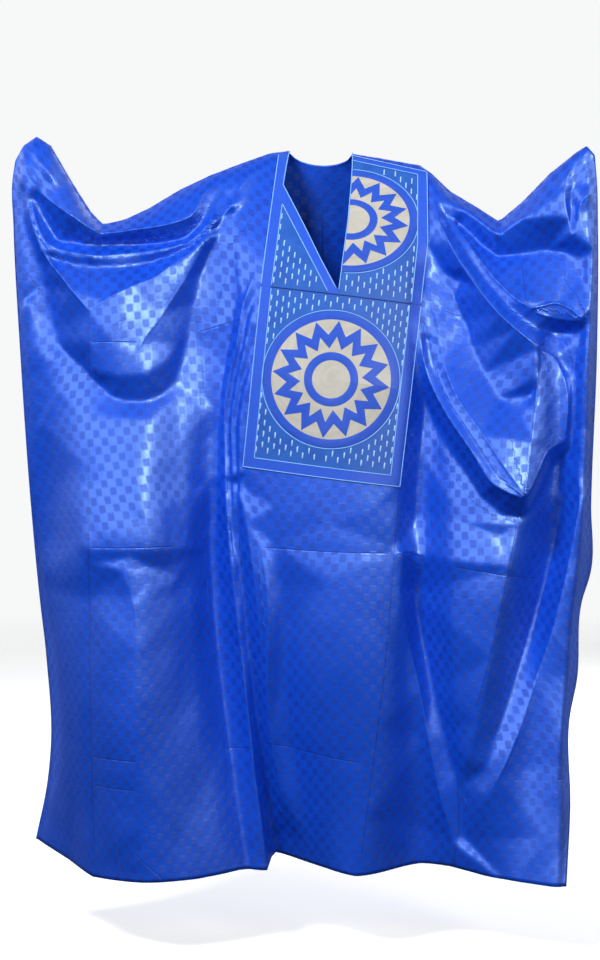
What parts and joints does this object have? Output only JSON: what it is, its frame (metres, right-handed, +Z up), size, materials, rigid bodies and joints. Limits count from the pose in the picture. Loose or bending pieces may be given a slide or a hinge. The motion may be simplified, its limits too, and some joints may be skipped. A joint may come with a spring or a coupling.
{
  "type": "garment",
  "caption": "Wide ankle-length gala robe of glossy damask with an embroidered chest panel, worn hollow and held out at both hands, open at neck, sides and hem.",
  "frame": {"origin": "middle of the neck on the shoulder line, between the front's fold and the back's, where the wearer's shoulders carry the robe", "axes": "+Z up, -Y the way the wearer faces, +X towards the wearer's left hand"},
  "size_m": [1.1433, 0.392, 1.4594],
  "materials": {
    "blue_damask": "satin",
    "panel_cloth": "satin",
    "border_cloth": "satin",
    "silver_thread": "satin"
  },
  "bodies": {
    "root": {"front_body": "blue_damask", "back_body": "blue_damask", "neck_panel": "panel_cloth", "chest_pocket": "panel_cloth", "left_border": "border_cloth", "right_border": "border_cloth", "pocket_border": "border_cloth", "pocket_medallion": "silver_thread", "neck_medallion": "silver_thread"}
  },
  "joints": []
}
